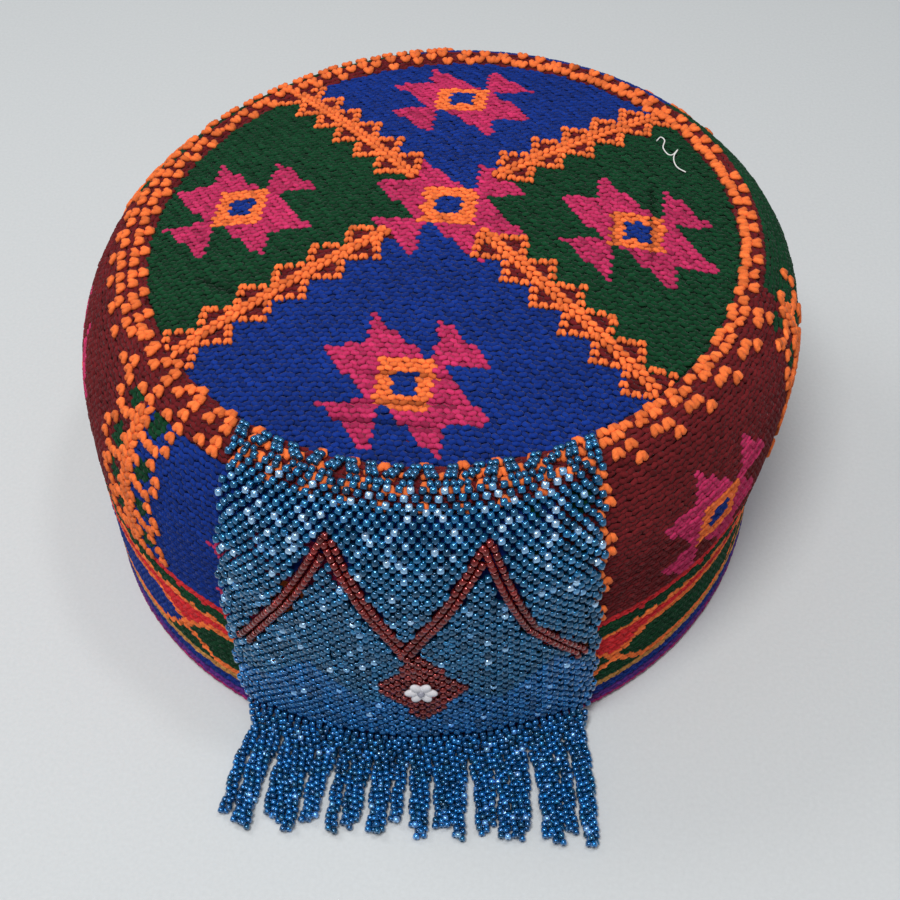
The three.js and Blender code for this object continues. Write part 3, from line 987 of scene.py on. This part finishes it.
SCALLOP_DEEP, SCALLOP_WAVE = 0.7, 0.56
# scattered teal beads are painted this many times lighter as painted glints, more of them towards the top
PAINTED_GLINT_GAIN, PAINTED_GLINT_LOW, PAINTED_GLINT_TOP = 3.0, 0.05, 0.2
panel_low = climb_of(PANEL_LOW / BULGE_HEIGHT) + 0.9
columns = int((PANEL_RIGHT - PANEL_LEFT) / BEAD_UNIT)
levels = int((WEAVE_TOP - panel_low) / BEAD_UNIT)
unit_x = (PANEL_RIGHT - PANEL_LEFT) / columns
unit_b = (WEAVE_TOP - panel_low) / levels
places = []
for level in range(levels + 1):
    for column in range(columns + 1):
        x, b = PANEL_LEFT + column * unit_x, panel_low + level * unit_b
        if level < levels:
            places.append((x, b + unit_b / 2, 0.0, 1.0))
        if column < columns:
            places.append((x + unit_x / 2, b, 1.0, 0.0))
places = np.array(places)
x, b = places[:, 0], places[:, 1]
from_left = (x - PANEL_LEFT) / (PANEL_RIGHT - PANEL_LEFT)
edge_push = np.clip((from_left - 0.93) / 0.07, 0, 1) - np.clip((0.07 - from_left) / 0.07, 0, 1)
x = x + (1 - from_left) * panel_inset(b) + edge_push * SCALLOP_DEEP * np.sin(b * SCALLOP_WAVE)
x = x + picks.normal(0, 0.07, len(x))
b = b + picks.normal(0, 0.07, len(x))
colour = bead_chart(x, b)
lay_chevrons(x, b, places[:, 2], places[:, 3])
lift = PANEL_GAP + BEAD_RADIUS + 0.25 + picks.normal(0, 0.07, len(x)) + 0.22 * np.sin(x * 0.3 + b * 0.17)
here, over, up, out = tangents(panel_point, x, b, 0.0)
centres = here + out * (lift * MM)[:, None]
axes = over * places[:, 2:3] + up * places[:, 3:4] + picks.normal(0, 0.13, (len(x), 3))
tone = np.clip(picks.normal(1.0, 0.22, len(x)), 0.45, 1.7)
# the beads are painted lighter towards the top: painted light
tone *= 1 + 0.25 * (b / WEAVE_TOP) ** 3
# a share of the teal beads, more towards the top, are painted much lighter: painted glints
painted_glint = picks.random(len(x)) < PAINTED_GLINT_LOW + PAINTED_GLINT_TOP * (b / WEAVE_TOP) ** 3
tone[painted_glint & (colour != DARK_RED)] *= PAINTED_GLINT_GAIN
panel = bead_piece("bead_panel_beads", centres, axes, BEAD_RADIUS, BEAD_LENGTH, colour, tone)
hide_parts("bead_panel")

LOOP_COUNT, LOOP_BEADS, LOOP_BEAD_RADIUS, LOOP_BEAD_LENGTH = 19, 4, 0.88, 1.5
centres, axes = [], []
for index in range(LOOP_COUNT):
    top_left = PANEL_LEFT + PANEL_TOP_INSET
    x_mid = top_left + (PANEL_RIGHT - top_left) * (index + 0.5) / LOOP_COUNT
    slant = 1.5 * math.sin(index * 1.7) + 0.5
    for doubled in (-0.85, 0.85):
        run = np.linspace(WEAVE_TOP + 0.9, climb_of(RING_TO - 0.01), LOOP_BEADS)
        share = np.linspace(0, 1, LOOP_BEADS)
        xs = x_mid + slant * (share - 0.5) * 1.6 + doubled * (1 - 0.35 * share)
        here = panel_point(xs, run, 0.95 + BEAD_RADIUS)
        way = np.gradient(here, axis=0)
        centres.append(here)
        axes.append(way)
centres, axes = np.concatenate(centres), np.concatenate(axes)
tone = np.clip(picks.normal(1.15, 0.25, len(centres)), 0.5, 1.8)
bead_piece("bead_panel_sewing_strands", centres, axes, LOOP_BEAD_RADIUS, LOOP_BEAD_LENGTH,
           np.full(len(centres), TEAL), tone)


# Bead fringe. Strings of the same beads, three to a strand and lightly twisted, hang from the
# foot of the panel and lie out on the surface. A few of its beads are painted much lighter, as
# painted glints.

FRINGE_COUNT, FRINGE_REACH_Y, FRINGE_SPREAD = 29, -119.5, 1.1
STRAND_THICK = 3.0


def smooth_path(corners, steps):
    """A smooth curve through a few corners, as evenly spaced points."""
    corners = np.asarray(corners, float)
    padded = np.vstack([2 * corners[0] - corners[1], corners, 2 * corners[-1] - corners[-2]])
    points = []
    for k in range(1, len(padded) - 2):
        p0, p1, p2, p3 = padded[k - 1:k + 3]
        for t in np.linspace(0, 1, 24, endpoint=False):
            points.append(0.5 * (2 * p1 + (p2 - p0) * t + (2 * p0 - 5 * p1 + 4 * p2 - p3) * t * t
                                 + (3 * p1 - p0 - 3 * p2 + p3) * t ** 3))
    points = np.array(points + [corners[-1]])
    gone = np.concatenate([[0], np.cumsum(np.linalg.norm(np.diff(points, axis=0), axis=1))])
    at = np.linspace(0, gone[-1], steps)
    return np.stack([np.interp(at, gone, points[:, k]) for k in range(3)], -1), gone[-1]


def strand_corners(index):
    share = index / (FRINGE_COUNT - 1)
    middle = (PANEL_LEFT + PANEL_RIGHT) / 2
    across = middle + (share * 2 - 1) * ((PANEL_RIGHT - PANEL_LEFT) / 2 - STRAND_THICK / 2)
    radius = RIM_RADIUS + 1.0 + STRAND_THICK / 2
    out = -math.sqrt(radius ** 2 - across ** 2)
    half = STRAND_THICK / 2 + 0.15
    wander = math.sin(index * 2.4) * 1.1 + math.sin(index * 5.1) * 0.6
    end_x = middle + (across - middle) * FRINGE_SPREAD + wander
    end_y = FRINGE_REACH_Y + math.cos(index * 1.9) * 2 - share * 1.6 + 0.8
    return [
        (across, out, PANEL_LOW - 1.9),
        (across, out - 2.0, half + 2.0),
        (across + wander * 0.2, out - 5.2, half + 0.2),
        (across + (end_x - across) * 0.6, (out + end_y) / 2, half),
        (end_x, end_y, half),
    ]


STRINGS, STRING_OUT, TWIST_LENGTH = 3, 1.08, 19.0
FRINGE_BEAD_STEP, FRINGE_BEAD_RADIUS, FRINGE_BEAD_LENGTH = 1.5, 0.9, 1.47
LOWEST_BEAD = 0.95
centres, axes = [], []
for index in range(FRINGE_COUNT):
    corners = strand_corners(index)
    _, length = smooth_path(corners, 40)
    count = int(length / FRINGE_BEAD_STEP)
    path, _ = smooth_path(corners, count)
    way = np.gradient(path, axis=0)
    way /= np.linalg.norm(way, axis=1, keepdims=True)
    side = np.cross(way, np.array([0.0, 0.3, 1.0]))
    side /= np.linalg.norm(side, axis=1, keepdims=True)
    rise = np.cross(side, way)
    turns = np.arange(count) * FRINGE_BEAD_STEP / TWIST_LENGTH * 2 * math.pi + index * 1.3
    for string in range(STRINGS):
        turn = turns + string * 2 * math.pi / STRINGS
        ring = side * np.cos(turn)[:, None] + rise * np.sin(turn)[:, None] * 0.72
        slip = way * FRINGE_BEAD_STEP * string / STRINGS
        centres.append(path + ring * STRING_OUT + slip)
        axes.append(way)
centres = np.concatenate(centres)
centres[:, 0] += AXIS_X
centres[:, 1] += AXIS_Y
centres[:, 2] = np.maximum(centres[:, 2], LOWEST_BEAD)
axes = np.concatenate(axes)
colour = np.where(picks.random(len(centres)) < 0.8, DEEP_TEAL, TEAL)
tone = np.clip(picks.normal(1.05, 0.25, len(centres)), 0.45, 1.8)
# a few beads are painted much lighter: painted glints
tone[picks.random(len(centres)) < 0.06] *= 2.4
fringe = bead_piece("bead_fringe_strands", centres * MM, axes, FRINGE_BEAD_RADIUS, FRINGE_BEAD_LENGTH,
                    colour, tone, sides=6)
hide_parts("bead_fringe")

HEAD_ROW_HEIGHT, HEAD_ROW_STEP, HEAD_BEAD_LENGTH = 5.9, 1.9, 1.7
count = int((PANEL_RIGHT - PANEL_LEFT) / HEAD_ROW_STEP)
xs = np.linspace(PANEL_LEFT + 0.8, PANEL_RIGHT - 0.8, count)
run = np.full(count, climb_of(HEAD_ROW_HEIGHT / BULGE_HEIGHT))
here = panel_point(xs, run, PANEL_GAP + 0.5 + BEAD_RADIUS)
tone = np.clip(picks.normal(1.0, 0.2, count), 0.5, 1.6)
bead_piece("bead_fringe_head_row", here, np.gradient(here, axis=0), BEAD_RADIUS, HEAD_BEAD_LENGTH,
           np.full(count, DEEP_TEAL), tone)


# Bead flower. Six oval white glass petals round a small grey bead, sewn low on the red diamond.

FLOWER_X, FLOWER_HEIGHT, FLOWER_RADIUS = 5.3, 32.0, 4.2
PETAL_COUNT, PETAL_SIZE, PETAL_CUP = 6, (1.35, 2.0, 0.8), 0.12
HEART_SIZE, HEART_LIFT = (1.0, 1.0, 0.9), 0.55


def opaque(name, hex_colour):
    """Opaque white bead glass: glossy, like glazed china."""
    material, tree, shader = new_material(name)
    shader.inputs["Base Color"].default_value = linear(hex_colour)
    shader.inputs["Roughness"].default_value = 0.28
    shader.inputs["IOR"].default_value = 1.52
    return material


white = opaque("opaque bead glass, white", "#e9e6ea")
grey = opaque("opaque bead glass, grey", "#9a9aa6")
centre = panel_point(np.array([FLOWER_X]), np.array([FLOWER_HEIGHT]), PANEL_GAP + PANEL_THICK + 0.9)[0]
_, over, up, out = tangents(panel_point, np.array([FLOWER_X]), np.array([FLOWER_HEIGHT]), 0.0)
over, up, out = over[0], up[0], out[0]
petals = []
for index in range(PETAL_COUNT + 1):
    is_petal = index < PETAL_COUNT
    bpy.ops.object.select_all(action="DESELECT")
    bpy.ops.mesh.primitive_uv_sphere_add(segments=16, ring_count=10, radius=1)
    petal = bpy.context.object
    size = PETAL_SIZE if is_petal else HEART_SIZE
    reach_out = FLOWER_RADIUS - PETAL_SIZE[1] if is_petal else 0.0
    turn = math.radians(60 * index + 30)
    flat = np.empty(len(petal.data.vertices) * 3)
    petal.data.vertices.foreach_get("co", flat)
    flat = flat.reshape(-1, 3) * size
    flat[:, 1] += reach_out
    flat[:, 2] += PETAL_CUP * np.hypot(flat[:, 0], flat[:, 1]) if is_petal else HEART_LIFT
    across = flat[:, 0] * math.cos(turn) - flat[:, 1] * math.sin(turn)
    rise = flat[:, 0] * math.sin(turn) + flat[:, 1] * math.cos(turn)
    world = centre + (across[:, None] * over + rise[:, None] * up + flat[:, 2:3] * out) * MM
    petal.data.vertices.foreach_set("co", world.ravel())
    petal.data.materials.append(white if is_petal else grey)
    petal.data.shade_smooth()
    petals.append(petal)
bpy.ops.object.select_all(action="DESELECT")
for petal in petals:
    petal.select_set(True)
bpy.context.view_layer.objects.active = petals[0]
bpy.ops.object.join()
flower = bpy.context.object
flower.name = "bead_flower_petals"
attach(flower, "root")
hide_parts("bead_flower")


# Loose thread. A short end of white sewing cotton lies in a crook on the top near the ring. It
# is one bare strand, on top of the stitches.

THREAD_ROUTE = (
    (55.0, 41.1), (56.1, 43.4), (57.2, 41.9), (56.8, 38.1), (58.1, 35.2), (59.5, 35.4),
    (60.9, 38.5), (59.9, 35.1), (59.9, 32.1), (60.9, 29.5), (63.1, 28.1),
)
THREAD_THICK, THREAD_LIFT, THREAD_STEPS = 0.36, 0.75, 70
route, _ = smooth_path([(u, v, 0.0) for u, v in THREAD_ROUTE], THREAD_STEPS)
thread_points = crown_point(route[:, 0], route[:, 1], THREAD_LIFT)
curve = bpy.data.curves.new("loose_thread", "CURVE")
curve.dimensions = "3D"
curve.bevel_depth = THREAD_THICK / 2 * MM
curve.bevel_resolution = 1
line = curve.splines.new("POLY")
line.points.add(len(thread_points) - 1)
for point, place in zip(line.points, thread_points):
    point.co = (*place, 1.0)
curve.use_fill_caps = True
thread = bpy.data.objects.new("loose_thread", curve)
bpy.context.collection.objects.link(thread)
bpy.ops.object.select_all(action="DESELECT")
thread.select_set(True)
bpy.context.view_layer.objects.active = thread
bpy.ops.object.convert(target="MESH")
thread = bpy.context.object
# spun cotton: off-white and matt, so the thread shows as a clear pale line on the green
cotton, tree, shader = new_material("sewing cotton, white")
shader.inputs["Base Color"].default_value = linear("#e6e4e0")
shader.inputs["Roughness"].default_value = 0.8
thread.data.materials.clear()
thread.data.materials.append(cotton)
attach(thread, "root")


# Floor. The cap stands on a plain pale floor of flat cotton cloth, without folds.

FLOOR_SIZE, THREADS_PER_CM = 6, 9
bpy.ops.object.select_all(action="DESELECT")
bpy.ops.mesh.primitive_plane_add(size=FLOOR_SIZE, location=(0, 0, 0))
floor = bpy.context.object
floor.name = "floor"
# woven cotton: pale, matt, and faintly uneven; its thread is drawn coarser than real, to show
sheet_cloth, tree, shader = new_material("pale cotton sheet")
shader.inputs["Roughness"].default_value = 0.9
shader.inputs["Specular IOR Level"].default_value = 0.15
place = add_node(tree, "ShaderNodeTexCoord")
weave = add_node(tree, "ShaderNodeTexNoise", {"Scale": THREADS_PER_CM / (10 * MM), "Detail": 4.0},
                 {"Vector": place.outputs["Object"]})
ramp = add_node(tree, "ShaderNodeMapRange", {"To Min": 0.93, "To Max": 1.05},
                {"Value": weave.outputs["Fac"]})
pale = add_node(tree, "ShaderNodeMix", {"data_type": "RGBA", "blend_type": "MULTIPLY"})
pale.inputs[0].default_value = 1.0
pale.inputs[6].default_value = linear("#d3d6d7")
tree.links.new(ramp.outputs["Result"], pale.inputs[7])
tree.links.new(pale.outputs[2], shader.inputs["Base Color"])
dimple = add_node(tree, "ShaderNodeBump", {"Strength": 0.25, "Distance": 0.3 * MM},
                  {"Height": weave.outputs["Fac"]})
tree.links.new(dimple.outputs["Normal"], shader.inputs["Normal"])
floor.data.materials.append(sheet_cloth)


# Light and camera. A soft lamp above the front and a weaker one behind the left light the cap,
# a small lamp above the right adds glints to the beads, and the camera has the photo's angle.

def soft_lamp(name, place, aim, size, power):
    light = bpy.data.lights.new(name, "AREA")
    light.shape = "DISK"
    light.size = size
    light.energy = power
    lamp = bpy.data.objects.new(name, light)
    lamp.location = place
    lamp.rotation_euler = (Vector(aim) - Vector(place)).to_track_quat("-Z", "Y").to_euler()
    bpy.context.collection.objects.link(lamp)


soft_lamp("ceiling light", (-0.08, -0.26, 0.86), (0, 0, 0.05), 0.34, 4.6)
soft_lamp("window light", (-0.55, 0.3, 0.75), (0, 0, 0.05), 0.36, 1.7)
soft_lamp("bare bulb", (0.25, 0.05, 0.9), (0, 0, 0.05), 0.12, 0.9)
world = bpy.data.worlds.new("soft room")
world.use_nodes = True
world.node_tree.nodes["Background"].inputs["Color"].default_value = linear("#eef1f4")
world.node_tree.nodes["Background"].inputs["Strength"].default_value = 0.33
bpy.context.scene.world = world
bpy.context.scene.view_settings.view_transform = "Standard"

CAMERA_AZIMUTH, CAMERA_ELEVATION, CAMERA_ROLL = math.radians(6), math.radians(50.7), math.radians(-3.7)
CAMERA_DISTANCE, AIM_OUT, AIM_HEIGHT = 404.0, 6.1, 5.6
FOCAL_PIXELS, FRAME_PIXELS, SENSOR_WIDTH = 1300.0, 900.0, 36.0
aim = Vector((AXIS_X + AIM_OUT * math.cos(CAMERA_AZIMUTH),
              AXIS_Y + AIM_OUT * math.sin(CAMERA_AZIMUTH), AIM_HEIGHT)) * MM
back = Vector((math.sin(CAMERA_AZIMUTH) * math.cos(CAMERA_ELEVATION),
               -math.cos(CAMERA_AZIMUTH) * math.cos(CAMERA_ELEVATION), math.sin(CAMERA_ELEVATION)))
lens = bpy.data.cameras.new("photo view")
lens.sensor_width = SENSOR_WIDTH
lens.lens = SENSOR_WIDTH * FOCAL_PIXELS / FRAME_PIXELS
lens.clip_start = 0.01
camera = bpy.data.objects.new("photo view", lens)
camera.location = aim + back * CAMERA_DISTANCE * MM
camera.rotation_euler = (-back).to_track_quat("-Z", "Y").to_euler()
camera.rotation_euler.rotate_axis("Z", CAMERA_ROLL)
bpy.context.collection.objects.link(camera)
bpy.context.scene.camera = camera
